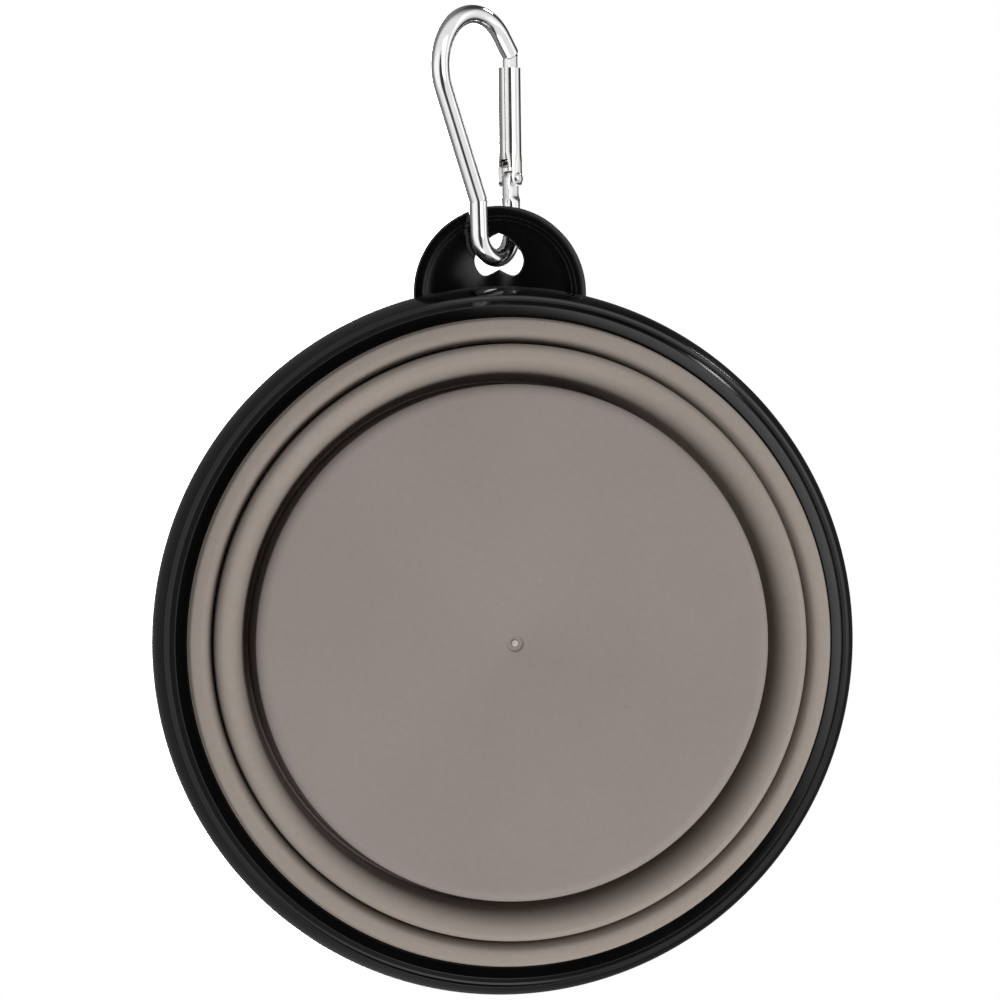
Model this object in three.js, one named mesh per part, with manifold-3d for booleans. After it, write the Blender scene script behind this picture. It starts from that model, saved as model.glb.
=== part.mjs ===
// Collapsible pet bowl, folded flat, with a small snap hook in its hanging tab.
// Millimetres, +Z up. The origin is the centre of the underside of the base disc, which rests on z = 0.
// The tab and the hook point to -Y.
import * as THREE from 'three';
import { mergeVertices } from 'three/addons/utils/BufferGeometryUtils.js';
import Module from 'manifold-3d';

// Driving dimensions: flexible wall, from the base outward.
// A flare is how far a ring leans out over its height.
const DISC_RADIUS = 46.95;
const DISC_THICKNESS = 2;
const DISC_ROUNDING = 1.5;
const WALL = 1.2;
const WEB = 1.0;
const FOLD_GAP = 0.5;
const FOLD_TOP = 13.45;
const FOLD_LIFT = 0.5;
const FOLD_CORNER = 0.1;
const CUP_FLARE = 0.4;
const LOWER_WEB_FLARE = 1.85;
const LOWER_RING_WIDTH = 2.9;
const LOWER_RING_HEIGHT = 2.2;
const MIDDLE_FLARE = 0.1;
const UPPER_WEB_FLARE = 0.1;
const UPPER_RING_WIDTH = 1.6;
const UPPER_RING_HEIGHT = 1.6;
const RING_SHELF = 1.0;
const COLLAR = 1.2;

// Driving dimensions: rim
const RIM_TOP = 15;
const RIM_BOTTOM = 4.35;
const RIM_BAND = 2.1;
const RIM_STEP = 1.9;
const RIM_STEP_HEIGHT = 2.1;
const RIM_OVERHANG = 1.9;
const RIM_WIDEST = 11.9;
const RIM_ROUNDING = 2.1;
const RIM_INNER_SLOPE = 1.6;
const SEGMENTS = 60;

// Driving dimensions: hanging tab
const TAB_RADIUS = 16;
const TAB_SINK = 1.25;
const TAB_THICKNESS = 2.2;
const TAB_RECESS = 1.0;
const TAB_DROP = 0.2;
const TAB_BORDER = 1.9;
const TAB_STEP = 0.7;
const HOLE_EDGE = 5;
const HOLE_SIDE_PLAY = 1.35;
const HOLE_END_PLAY = 1.4;

// Driving dimensions: snap hook
const WIRE_RADIUS = 1.7;
const HOOK_TILT = THREE.MathUtils.degToRad(42.5);
const HOOK_CLEARANCE = 0.35;
const HOOK_SHIFT = 0.65;
const HOOK_PULL = 0.1;
const HOOK_RISE = 0.12;
const HOOK_REACH = 39.77;
const SPINE_REACH = 15.21;
const BOW_RADIUS = 9.92;
const KINK_HEIGHT = 5.7;
const KINK_LEAN = 0.15;
const PIVOT = 10;
const LUG_RADIUS = 1.6;
const TONGUE_THICKNESS = 1.2;
const TONGUE_DEPTH = 2.0;

// Driving dimensions: gate of the hook
const GATE_RADIUS = 2.1;
const GATE_WALL = 0.6;
const GATE_LENGTH = 20.4;
const GATE_SEAM = 0.16;
const SEAM_TURN = THREE.MathUtils.degToRad(75);
const EAR_THICKNESS = 0.75;
const EAR_INSET = 0.15;
const WINDOW_WIDTH = 2.0;
const WINDOW_LENGTH = 1.4;
const NOSE_GAP = 2.4;
const NOSE_SHIFT = 0.4;
const RUNNING_CLEARANCE = 0.2;
const RIVET_RADIUS = 0.6;
const RIVET_CLEARANCE = 0.08;
const RIVET_SEAT = 0.02;
const RIVET_HEAD = 1.15;
const RIVET_DOME = 0.6;
const SPRING_WIRE = 0.2;
const SPRING_LENGTH = 8.8;
const SPRING_TURNS = 9;
const CRIMP = 0.85;

const wasm = await Module();
wasm.setup();

const black = new THREE.MeshStandardMaterial({ color: 0x0c0c0d, roughness: 0.3, metalness: 0 });
const taupe = new THREE.MeshStandardMaterial({ color: 0x8f8781, roughness: 0.55, metalness: 0 });
const metal = new THREE.MeshStandardMaterial({ color: 0xcfd1d4, roughness: 0.2, metalness: 1 });

// A closed body from loose triangles: shared corners are joined, slivers dropped, faces turned outward.
function weld(geometry) {
  const bare = geometry.index ? geometry.toNonIndexed() : geometry.clone();
  bare.deleteAttribute('normal');
  bare.deleteAttribute('uv');
  const joined = mergeVertices(bare, 1e-4);
  const position = joined.getAttribute('position');
  const from = joined.index.array;
  const faces = [];
  let volume = 0;
  const a = new THREE.Vector3();
  const b = new THREE.Vector3();
  const c = new THREE.Vector3();
  for (let i = 0; i < from.length; i += 3) {
    const [p, q, r] = [from[i], from[i + 1], from[i + 2]];
    if (p !== q && q !== r && r !== p) {
      faces.push(p, q, r);
      a.fromBufferAttribute(position, p);
      b.fromBufferAttribute(position, q);
      c.fromBufferAttribute(position, r);
      volume += a.dot(b.cross(c));
    }
  }
  if (volume < 0) {
    for (let i = 0; i < faces.length; i += 3) {
      const keep = faces[i];
      faces[i] = faces[i + 1];
      faces[i + 1] = keep;
    }
  }
  joined.setIndex(faces);
  return joined;
}

function solid(geometry) {
  const body = weld(geometry);
  return new wasm.Manifold(new wasm.Mesh({
    numProp: 3,
    vertProperties: new Float32Array(body.getAttribute('position').array),
    triVerts: new Uint32Array(body.index.array),
  }));
}

function surface(body) {
  const mesh = body.getMesh();
  const geometry = new THREE.BufferGeometry();
  geometry.setAttribute('position', new THREE.BufferAttribute(new Float32Array(mesh.vertProperties), 3));
  geometry.setIndex(Array.from(mesh.triVerts));
  return geometry;
}

// A ring or disc turned about Z from a closed section of [radius, height] points.
function turned(section, segments = SEGMENTS) {
  const points = section.map(([r, z]) => new THREE.Vector2(r, z));
  if (section[0][0] > 0 || section[section.length - 1][0] > 0) {
    points.push(points[0].clone());
  }
  const geometry = new THREE.LatheGeometry(points, segments);
  geometry.rotateX(Math.PI / 2);
  return weld(geometry);
}

// The two sides of a folded wall, from its middle line of [radius, height, thickness] points.
function sides(line, firstWay, lastWay) {
  const left = [];
  const right = [];
  line.forEach(([r, z, t], i) => {
    const before = line[Math.max(i - 1, 0)];
    const after = line[Math.min(i + 1, line.length - 1)];
    let way = [after[0] - before[0], after[1] - before[1]];
    if (i === 0) {
      way = firstWay;
    }
    if (i === line.length - 1) {
      way = lastWay;
    }
    const length = Math.hypot(...way);
    const nr = -way[1] / length;
    const nz = way[0] / length;
    left.push([r + nr * t / 2, z + nz * t / 2]);
    right.push([r - nr * t / 2, z - nz * t / 2]);
  });
  return { left, right };
}

const INWARD = [-1, 0];

function folded(line) {
  const { left, right } = sides(line, INWARD, INWARD);
  return turned([...left, ...right.reverse()]);
}

// The flexible wall is one moulding. Each piece ends on the crest of a fold, where the next one
// starts from the same ring, so the four crests fix the whole section.
const bendRadius = (WEB + FOLD_GAP) / 2;
const cornerRadius = WEB / 2 + FOLD_CORNER;
const topCrest = FOLD_TOP - WEB / 2 - bendRadius;
const lowCrest = FOLD_LIFT + WEB / 2;
const rimCrest = RIM_BOTTOM + WEB / 2;
const cupFoot = DISC_THICKNESS + WALL / 2;
const cupRadius = DISC_RADIUS - WALL / 2;
const baseCrest = cupRadius + CUP_FLARE + bendRadius;
const lowerCrest = baseCrest + bendRadius + LOWER_WEB_FLARE + LOWER_RING_WIDTH;
const upperCrest = lowerCrest + cornerRadius + MIDDLE_FLARE + bendRadius;
const collarCrest = upperCrest + bendRadius + UPPER_WEB_FLARE + UPPER_RING_WIDTH;
const collarInner = collarCrest + RING_SHELF;
const bondRadius = collarInner + COLLAR;
const collarTop = RIM_TOP - RIM_INNER_SLOPE;

// A quarter turn of the middle line, wider than it is high where the ring is broad.
function bend(r, z, from, to, width = bendRadius, height = width, steps = 2) {
  return Array.from({ length: steps + 1 }, (_, i) => {
    const turn = THREE.MathUtils.degToRad(from + (to - from) * i / steps);
    return [r + width * Math.cos(turn), z + height * Math.sin(turn), WEB];
  });
}

// Straight run of full wall thickness between two bends, set back a little from each.
function run(r0, z0, r1, z1, setback) {
  const part = setback / Math.abs(z1 - z0);
  return [part, 1 - part].map((p) => [r0 + (r1 - r0) * p, z0 + (z1 - z0) * p, WALL]);
}

const collar = turned([
  [collarInner, collarTop],
  [bondRadius, collarTop],
  [bondRadius, RIM_BOTTOM + COLLAR / 10],
  [bondRadius - COLLAR / 10, RIM_BOTTOM],
  [collarCrest, RIM_BOTTOM],
  [collarCrest, RIM_BOTTOM + WEB],
  [collarInner, RIM_BOTTOM + WEB + FOLD_GAP],
]);

const upperWeb = folded([
  ...bend(collarCrest, rimCrest + UPPER_RING_HEIGHT, 270, 180, UPPER_RING_WIDTH, UPPER_RING_HEIGHT, 3),
  ...bend(upperCrest, topCrest, 0, 90),
]);

const middleWall = folded([
  ...bend(upperCrest, topCrest, 90, 180),
  ...run(upperCrest - bendRadius, topCrest, lowerCrest + cornerRadius, lowCrest + cornerRadius, WALL),
  ...bend(lowerCrest, lowCrest + cornerRadius, 0, -90, cornerRadius),
]);

const lowerWeb = folded([
  ...bend(lowerCrest, lowCrest + LOWER_RING_HEIGHT, -90, -180, LOWER_RING_WIDTH, LOWER_RING_HEIGHT, 3),
  ...bend(baseCrest, topCrest, 0, 90),
]);

const cupLean = [-CUP_FLARE, cupFoot - topCrest];
const cupWall = sides([
  ...bend(baseCrest, topCrest, 90, 180),
  [cupRadius + CUP_FLARE * (topCrest - WALL - cupFoot) / (topCrest - cupFoot), topCrest - WALL, WALL],
  [cupRadius, cupFoot, WALL],
], INWARD, cupLean);

const baseCup = turned([
  [0, DISC_THICKNESS],
  [cupRadius - WALL / 2 - DISC_ROUNDING, DISC_THICKNESS],
  [cupRadius - WALL / 2 - DISC_ROUNDING / 3, DISC_THICKNESS + WALL / 6],
  ...cupWall.right.reverse(),
  ...cupWall.left,
  [DISC_RADIUS, DISC_THICKNESS * 0.75],
  [DISC_RADIUS - DISC_ROUNDING * 0.05, DISC_THICKNESS * 0.45],
  [DISC_RADIUS - DISC_ROUNDING * 0.27, DISC_THICKNESS * 0.18],
  [DISC_RADIUS - DISC_ROUNDING * 0.6, DISC_THICKNESS * 0.04],
  [DISC_RADIUS - DISC_ROUNDING, 0],
  [0, 0],
]);

// Rim ring: flat lower band, small step, flared outer face and rounded top.
const bandRadius = bondRadius + RIM_BAND;
const stepRadius = bandRadius + RIM_STEP;
const stepTop = RIM_BOTTOM + RIM_STEP_HEIGHT;
const rimRadius = stepRadius + RIM_OVERHANG;
const flare = RIM_WIDEST - stepTop;
const shoulder = RIM_TOP - RIM_WIDEST;
const rimRing = turned([
  [bondRadius, RIM_BOTTOM],
  [bandRadius, RIM_BOTTOM + RIM_STEP_HEIGHT * 0.12],
  [bandRadius + RIM_STEP * 0.29, RIM_BOTTOM + RIM_STEP_HEIGHT * 0.29],
  [bandRadius + RIM_STEP * 0.5, RIM_BOTTOM + RIM_STEP_HEIGHT * 0.62],
  [bandRadius + RIM_STEP * 0.82, RIM_BOTTOM + RIM_STEP_HEIGHT * 0.79],
  [stepRadius, stepTop],
  [stepRadius + RIM_OVERHANG * 0.58, stepTop + flare * 0.45],
  [stepRadius + RIM_OVERHANG * 0.9, stepTop + flare * 0.8],
  [rimRadius, RIM_WIDEST],
  [rimRadius - RIM_ROUNDING * 0.03, RIM_WIDEST + shoulder * 0.26],
  [rimRadius - RIM_ROUNDING * 0.19, RIM_WIDEST + shoulder * 0.61],
  [rimRadius - RIM_ROUNDING * 0.52, RIM_WIDEST + shoulder * 0.87],
  [rimRadius - RIM_ROUNDING, RIM_TOP],
  [bondRadius + RIM_BAND, RIM_TOP],
  [bondRadius + RIM_BAND * 0.52, RIM_TOP - RIM_INNER_SLOPE * 0.19],
  [bondRadius + RIM_BAND * 0.19, RIM_TOP - RIM_INNER_SLOPE * 0.56],
  [bondRadius, collarTop],
]);

// Hanging tab: a half disc with a raised border on its underside and a rounded heart-shaped hole.
const tabTop = RIM_TOP - TAB_DROP;
const tabBottom = tabTop - TAB_THICKNESS;
const tabFace = tabBottom + TAB_RECESS;
const tabCentre = -(rimRadius - TAB_SINK);
const tabRoot = (bandRadius + stepRadius) / 2;
const holeTip = tabCentre - TAB_RADIUS + HOLE_EDGE;

// The wire's legs lie either side of the tab, so its thickness sets how far apart they are.
const leg = (TAB_THICKNESS / 2 + WIRE_RADIUS + HOOK_CLEARANCE) / Math.sin(HOOK_TILT);
const faceThickness = TAB_THICKNESS - TAB_RECESS;
const holeHalf = WIRE_RADIUS / Math.sin(HOOK_TILT) + faceThickness / Math.tan(HOOK_TILT) / 2 + HOLE_SIDE_PLAY;
const holeLength = leg + WIRE_RADIUS + HOLE_END_PLAY;

function plate(shape, bottom, top, curveSegments) {
  const depth = top - bottom;
  const geometry = new THREE.ExtrudeGeometry(shape, { depth, bevelEnabled: false, curveSegments });
  geometry.translate(0, 0, bottom);
  return geometry;
}

function halfDisc(radius) {
  const shape = new THREE.Shape();
  shape.moveTo(-radius, tabCentre + TAB_RADIUS / 3);
  shape.lineTo(-radius, tabCentre);
  shape.absarc(0, tabCentre, radius, Math.PI, 2 * Math.PI, false);
  shape.lineTo(radius, tabCentre + TAB_RADIUS / 3);
  shape.closePath();
  return shape;
}

// One side of the heart, as shares of its half width and its length from the rounded tip.
const heartSide = new THREE.SplineCurve([
  [0, 0],
  [0.33, 0.095],
  [0.79, 0.34],
  [1, 0.63],
  [0.855, 0.895],
  [0.54, 1],
  [0, 0.855],
].map(([x, y]) => new THREE.Vector2(holeHalf * x, holeTip + holeLength * y))).getPoints(14);
const heart = new THREE.Shape([
  ...heartSide,
  ...heartSide.slice(1, -1).reverse().map((p) => new THREE.Vector2(-p.x, p.y)),
]);

const recess = solid(plate(halfDisc(TAB_RADIUS - TAB_BORDER), tabBottom - 1, tabFace - TAB_RECESS / 2, 28))
  .add(solid(plate(halfDisc(TAB_RADIUS - TAB_BORDER - TAB_STEP), tabBottom - 1, tabFace, 28)));
const rimCore = solid(turned([[0, 0], [tabRoot, 0], [tabRoot, 2 * RIM_TOP], [0, 2 * RIM_TOP]]));
const tab = solid(plate(halfDisc(TAB_RADIUS), tabBottom, tabTop, 28))
  .subtract(recess)
  .subtract(solid(plate(heart, tabBottom, tabTop + 1, 12)))
  .subtract(rimCore);
const rim = surface(solid(rimRing).add(tab));

// Snap hook, drawn flat: x runs from the spine toward the gate, y away from the bowl, z across the wire.
function tubeSkin(rings) {
  const count = rings[0].length;
  const last = (rings.length - 1) * count;
  const index = [];
  for (let i = 0; i + 1 < rings.length; i += 1) {
    for (let k = 0; k < count; k += 1) {
      const next = (k + 1) % count;
      const [p, q] = [i * count + k, i * count + next];
      index.push(p, q, q + count, p, q + count, p + count);
    }
  }
  for (let k = 1; k < count - 1; k += 1) {
    index.push(0, k + 1, k);
    index.push(last, last + k, last + k + 1);
  }
  const geometry = new THREE.BufferGeometry();
  geometry.setAttribute('position', new THREE.BufferAttribute(new Float32Array(rings.flat(2)), 3));
  geometry.setIndex(index);
  return weld(geometry);
}

function wire(points, radius, count) {
  return tubeSkin(points.map((at, i) => {
    const before = points[Math.max(i - 1, 0)];
    const after = points[Math.min(i + 1, points.length - 1)];
    const side = after.clone().sub(before).normalize();
    return Array.from({ length: count }, (_, k) => {
      const turn = 2 * Math.PI * k / count;
      const out = radius * Math.cos(turn);
      return [at.x + side.y * out, at.y - side.x * out, radius * Math.sin(turn)];
    });
  }));
}

function block(x0, x1, y0, y1, z0, z1) {
  const geometry = new THREE.BoxGeometry(x1 - x0, y1 - y0, z1 - z0);
  geometry.translate((x0 + x1) / 2, (y0 + y1) / 2, (z0 + z1) / 2);
  return solid(geometry);
}

function pin(radius, z0, z1, count) {
  const geometry = new THREE.CylinderGeometry(radius, radius, z1 - z0, count);
  geometry.rotateX(Math.PI / 2);
  geometry.translate(leg, PIVOT, (z0 + z1) / 2);
  return solid(geometry);
}

function tube(radius, y0, y1) {
  const geometry = new THREE.CylinderGeometry(radius, radius, y1 - y0, 24);
  geometry.translate(leg, (y0 + y1) / 2, 0);
  return solid(geometry);
}

// Where a straight run from a point touches the hook's bow, on the side that the sign picks.
const bowCentre = new THREE.Vector2(BOW_RADIUS - SPINE_REACH, HOOK_REACH - BOW_RADIUS);

function touch(point, sign) {
  const way = point.clone().sub(bowCentre);
  return way.angle() + sign * Math.acos(BOW_RADIUS / way.length());
}

const gateTip = PIVOT + GATE_LENGTH;
const kink = new THREE.Vector2(-leg - KINK_LEAN, KINK_HEIGHT);
const nose = new THREE.Vector2(leg + NOSE_SHIFT, gateTip + NOSE_GAP);
const lugStart = PIVOT - LUG_RADIUS - GATE_RADIUS;
const hookLine = new THREE.Path();
hookLine.moveTo(leg, lugStart + WIRE_RADIUS / 2);
hookLine.lineTo(leg, 0);
hookLine.absarc(0, 0, leg, 0, -Math.PI, true);
hookLine.lineTo(kink.x, kink.y);
hookLine.absarc(bowCentre.x, bowCentre.y, BOW_RADIUS, touch(kink, -1), touch(nose, 1), true);
hookLine.lineTo(nose.x, nose.y);

const gateBore = GATE_RADIUS - GATE_WALL;
const earOuter = GATE_RADIUS - EAR_INSET;
const earInner = earOuter - EAR_THICKNESS;
const earRadius = LUG_RADIUS - EAR_INSET;
const lugHalf = earInner - RUNNING_CLEARANCE;
const tongueHalf = Math.sqrt((gateBore - RUNNING_CLEARANCE / 2) ** 2 - TONGUE_THICKNESS ** 2 / 4);
const lug = block(leg - LUG_RADIUS, leg + LUG_RADIUS, lugStart, PIVOT, -lugHalf, lugHalf)
  .add(pin(LUG_RADIUS, -lugHalf, lugHalf, 20));
const tongue = block(
  leg - tongueHalf,
  leg + earOuter,
  gateTip - TONGUE_DEPTH,
  nose.y + WIRE_RADIUS / 2,
  -TONGUE_THICKNESS / 2,
  TONGUE_THICKNESS / 2,
);
const hook = surface(solid(wire(hookLine.getSpacedPoints(64), WIRE_RADIUS, 16))
  .add(lug)
  .add(tongue)
  .subtract(pin(RIVET_RADIUS + RIVET_CLEARANCE, -GATE_RADIUS, GATE_RADIUS, 16)));

// Gate: a rolled tube with its seam, forked over the lug, slotted for the tongue and open in a small window.
const fork = PIVOT + LUG_RADIUS + 3 * RUNNING_CLEARANCE;
const earTop = fork + GATE_RADIUS;
const springStart = PIVOT + LUG_RADIUS + RUNNING_CLEARANCE / 2;
const springEnd = springStart + SPRING_LENGTH;
const slotHalf = TONGUE_THICKNESS / 2 + RUNNING_CLEARANCE;
const slotEnd = gateTip - TONGUE_DEPTH - slotHalf;
const windowEnd = fork + WINDOW_LENGTH;

function ear(sign) {
  const z0 = Math.min(sign * earInner, sign * earOuter);
  const z1 = Math.max(sign * earInner, sign * earOuter);
  return block(leg - earRadius, leg + earRadius, PIVOT, earTop, z0, z1)
    .add(pin(earRadius, z0, z1, 20))
    .subtract(tube(gateBore, fork, earTop + 1));
}

const seam = new THREE.BoxGeometry(GATE_SEAM, 2 * GATE_LENGTH, 2 * GATE_RADIUS);
seam.translate(0, gateTip, GATE_RADIUS);
seam.rotateY(-SEAM_TURN);
seam.translate(leg, 0, 0);
const gate = surface(tube(GATE_RADIUS, fork, gateTip)
  .subtract(tube(gateBore, PIVOT, gateTip + 1))
  .subtract(block(leg, leg + 2 * GATE_RADIUS, slotEnd, gateTip + 1, -slotHalf, slotHalf))
  .subtract(block(leg - 2 * GATE_RADIUS, leg, PIVOT, windowEnd, -WINDOW_WIDTH / 2, WINDOW_WIDTH / 2))
  .subtract(solid(seam))
  .add(tube((GATE_RADIUS + gateBore) / 2, springEnd + RUNNING_CLEARANCE / 3, springEnd + CRIMP))
  .add(ear(1))
  .add(ear(-1))
  .subtract(pin(RIVET_RADIUS + RIVET_SEAT, -2 * GATE_RADIUS, 2 * GATE_RADIUS, 16)));

// Rivet: a short pin with a low domed head at each end.
function dome(sign) {
  const geometry = turned([
    [0, 0],
    [RIVET_HEAD, 0],
    [RIVET_HEAD * 0.91, RIVET_DOME * 0.47],
    [RIVET_HEAD * 0.61, RIVET_DOME * 0.83],
    [0, RIVET_DOME],
  ], 16);
  if (sign < 0) {
    geometry.rotateX(Math.PI);
  }
  geometry.translate(leg, PIVOT, sign * (earOuter + RIVET_SEAT));
  return solid(geometry);
}

const shank = earOuter + RIVET_DOME / 3;
const rivet = surface(pin(RIVET_RADIUS, -shank, shank, 16).add(dome(1)).add(dome(-1)));

// Coil spring inside the gate, between the lug and the crimp.
const coilRadius = earInner - SPRING_WIRE - RUNNING_CLEARANCE / 2;
const coilSteps = 8 * SPRING_TURNS;
const coilPitch = (SPRING_LENGTH - 2 * SPRING_WIRE) / SPRING_TURNS;
const coilLine = Array.from({ length: coilSteps + 1 }, (_, i) => {
  const turn = Math.PI * i / 4;
  const rise = springStart + SPRING_WIRE + coilPitch * i / 8;
  return new THREE.Vector3(leg + coilRadius * Math.cos(turn), rise, coilRadius * Math.sin(turn));
});
const coil = tubeSkin(coilLine.map((at, i) => Array.from({ length: 5 }, (_, k) => {
  const turn = Math.PI * i / 4;
  const around = 2 * Math.PI * k / 5;
  const reach = coilRadius + SPRING_WIRE * Math.cos(around);
  return [leg + reach * Math.cos(turn), at.y + SPRING_WIRE * Math.sin(around), reach * Math.sin(turn)];
})));
let coilGap = Infinity;
coilLine.forEach((at, i) => {
  coilLine.slice(i + 5).forEach((other) => {
    coilGap = Math.min(coilGap, at.distanceTo(other) - 2 * SPRING_WIRE);
  });
});
console.log(`gate_spring: least gap to itself ${coilGap.toFixed(2)} mm`);

// The hook lies in a plane tilted about Y, threaded through the tab's hole.
const hookPlace = new THREE.Matrix4().makeBasis(
  new THREE.Vector3(Math.cos(HOOK_TILT), 0, Math.sin(HOOK_TILT)),
  new THREE.Vector3(0, -1, 0),
  new THREE.Vector3(Math.sin(HOOK_TILT), 0, -Math.cos(HOOK_TILT)),
).setPosition(-HOOK_SHIFT, holeTip - HOOK_PULL, tabTop - TAB_THICKNESS / 2 + HOOK_RISE);

const bowl = new THREE.Group();
bowl.name = 'collapsible_pet_bowl';

function put(name, geometry, material, place) {
  const shape = weld(geometry);
  if (place) {
    shape.applyMatrix4(place);
  }
  shape.computeVertexNormals();
  const mesh = new THREE.Mesh(shape, material);
  mesh.name = name;
  bowl.add(mesh);
}

put('rim_ring', rim, black);
put('rim_collar', collar, taupe);
put('upper_fold_web', upperWeb, taupe);
put('middle_wall', middleWall, taupe);
put('lower_fold_web', lowerWeb, taupe);
put('base_cup', baseCup, taupe);
put('carabiner_hook', hook, metal, hookPlace);
put('carabiner_gate', gate, metal, hookPlace);
put('gate_rivet', rivet, metal, hookPlace);
put('gate_spring', coil, metal, hookPlace);

export default bowl;
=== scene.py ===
"""Collapsible pet bowl, folded flat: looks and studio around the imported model."""
import math

import bmesh
import bpy
import numpy as np
from mathutils import Matrix, Vector


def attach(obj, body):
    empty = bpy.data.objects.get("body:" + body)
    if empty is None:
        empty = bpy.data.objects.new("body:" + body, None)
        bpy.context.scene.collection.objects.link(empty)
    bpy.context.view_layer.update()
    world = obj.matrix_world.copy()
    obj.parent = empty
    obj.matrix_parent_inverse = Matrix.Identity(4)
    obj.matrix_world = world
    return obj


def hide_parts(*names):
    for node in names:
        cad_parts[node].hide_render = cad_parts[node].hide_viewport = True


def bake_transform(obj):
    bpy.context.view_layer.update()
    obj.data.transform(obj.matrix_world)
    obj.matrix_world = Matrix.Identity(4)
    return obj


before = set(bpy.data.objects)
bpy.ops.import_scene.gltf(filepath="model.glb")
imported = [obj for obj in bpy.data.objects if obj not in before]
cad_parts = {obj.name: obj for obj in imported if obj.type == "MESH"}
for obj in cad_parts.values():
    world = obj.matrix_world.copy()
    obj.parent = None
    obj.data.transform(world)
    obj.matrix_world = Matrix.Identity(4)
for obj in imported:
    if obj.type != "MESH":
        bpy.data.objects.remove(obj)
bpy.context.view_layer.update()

MM = 0.001

# Flexible wall, millimetres
DISC_RADIUS = 46.95
DISC_THICKNESS = 2.0
EDGE_WIDE = 2.1
EDGE_HIGH = 1.4
UNDERCUT = 0.95
UNDERCUT_TOP = 11.0
UNDERCUT_FADE = 3.0
FLOOR_ROUNDING = 1.0
DISC_RINGS = (42, 37, 33)
GATE_MARK = [(30, 0), (1.62, 0), (1.42, 0.32), (0.66, 0.36), (0.56, 0.07), (0, 0.05)]
GATE_MARK_ROUNDING = [0.12, 0.12, 0.08, 0.1]
NUB_RADIUS = 0.58
NUB_HEIGHT = 0.12
WALL = 1.2
WEB = 1.0
BEND = 0.75
CUP_RADIUS = 46.35
CUP_FOOT = 2.6
CUP_FLARE = 0.4
BEND_TOP = 12.2
BASE_CREST = 47.5
LOWER_CREST = 52.9
MIDDLE_CORNER = 0.8
GROOVE = [(49.2, 7.9), (48.95, 9.5), (48.5, 11.0)]
LOWER_RING = (3.5, 5.4)
LOW_LINE = 1.0
UPPER_CREST = 54.45
OUTER_RING = [(58.9, 5.4), (58.9, 4.2), (58.9, 3.2), (58.84, 2.6), (58.6, 2.2), (58.1, 2.02),
              (57.4, 1.92), (56.7, 1.9), (56.0, 2.12), (55.45, 2.7), (54.98, 3.7), (54.66, 4.9),
              (54.45, 6.4)]
COLLAR_INNER = 57.9
COLLAR_TOP = 13.4
COLLAR_FOOT = 4.45
COLLAR_START = 8.0
COLLAR_END = 7.9
COLLAR_ROUNDING = [0.25, 0.1, 0.1, 0.1]
BOND_RADIUS = 59.1

# Rim and tab, millimetres
RIM_RADIUS = 65.0
RIM_TOP = 15.0
RIM_BOTTOM = 4.35
RIM_UNDER = [(BOND_RADIUS, 7.0), (BOND_RADIUS, RIM_BOTTOM), (61.35, 4.6), (62.2, 5.95), (62.6, 6.12),
             (63.15, 6.27), (63.55, 7.1)]
RIM_UNDER_ROUNDING = [0.4, 0.35, 0.1, 0.05, 0.3]
RIM_OUTER = [(63.55, 7.1), (64.0, 8.1), (64.47, 9.35), (64.85, 10.81), (RIM_RADIUS, 11.9), (64.94, 12.7),
             (64.6, 13.8), (63.9, 14.6), (62.9, RIM_TOP)]
RIM_INNER = [(61.2, RIM_TOP), (60.2, 14.7), (59.5, 14.1), (BOND_RADIUS, COLLAR_TOP)]
TAB_RADIUS = 16.0
TAB_CENTRE = -63.75
TAB_TOP = 14.8
TAB_BOTTOM = 12.6
TAB_SHELF = 13.1
TAB_FACE = 13.6
TAB_ROOT = 62.15
TAB_BORDER = 1.9
TAB_BORDER_START = 1.2
TAB_STEP = 0.7
TAB_STEP_ROUNDING = [0.16, 0.06, 0.16, 0.06]
TAB_DRAFT = 0.05
TAB_FLAT_START = 4.2
TAB_TOP_ROUNDING = 0.4
TAB_BOTTOM_ROUNDING = 0.35
HOLE_LIP = 0.28
HOLE_TIP = -74.75
HOLE_LENGTH = 7.76
HOLE_HALF = 4.52
HEART = [(0, 0), (0.33, 0.095), (0.79, 0.34), (1, 0.63), (0.855, 0.895), (0.54, 1), (0, 0.855)]

# Snap hook, millimetres, drawn flat: a toward the gate, l away from the bowl, n across the wire
HOOK_ORIGIN = Vector((-0.65, -74.85, 13.82))
HOOK_TILT = math.radians(42.5)
WIRE = 1.7
LEG = 4.6626
KINK = (-4.8126, 5.7)
KINK_PINCH = 0.07
BOW_CENTRE = (-5.29, 29.85)
BOW_RADIUS = 9.92
NOSE = (5.06, 32.8)
PIVOT = 10.0
LUG_RADIUS = 1.5
LUG_HALF = 0.92
LUG_TIP = (8, 20, 35, 50, 65, 80, 90)  # degrees over the rounded tip
LUG_TO_WIRE = ((8.9, 0), (7.6, 0), (7.0, 0.06), (6.6, 0.3), (6.2, 0.7), (5.8, 0.94), (5.3, 1))
LEG_HEIGHTS = np.linspace(4.6, 0.6, 7)
WIRE_CUT = ((0.3, 0), (0.16, 0.03), (0.06, 0.12), (0, 0.3))
TONGUE_INNER = -1.2
TONGUE_OUTER = 1.95
TONGUE_THICK = 0.6
TONGUE_END = 28.4
TONGUE_RINGS = ((NOSE[1] - 0.02, 0.08), (NOSE[1] - 0.2, 0), (30.6, 0), (TONGUE_END + 0.25, 0),
                (TONGUE_END + 0.07, -0.07), (TONGUE_END, -0.25))
GATE_MID = 1.8
GATE_WALL = 0.6
GATE_TIP = 30.4
FORK = 12.2
EAR_MID = 1.65
EAR_WIDE = 1.55
EAR_RADIUS = 1.4
WINDOW_END = 13.6
EAR_TOP = 14.7
SLOT_END = 27.6
SEAM = 165.0  # degrees round the tube from the outer side
SEAM_HALF = 1.0
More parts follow.
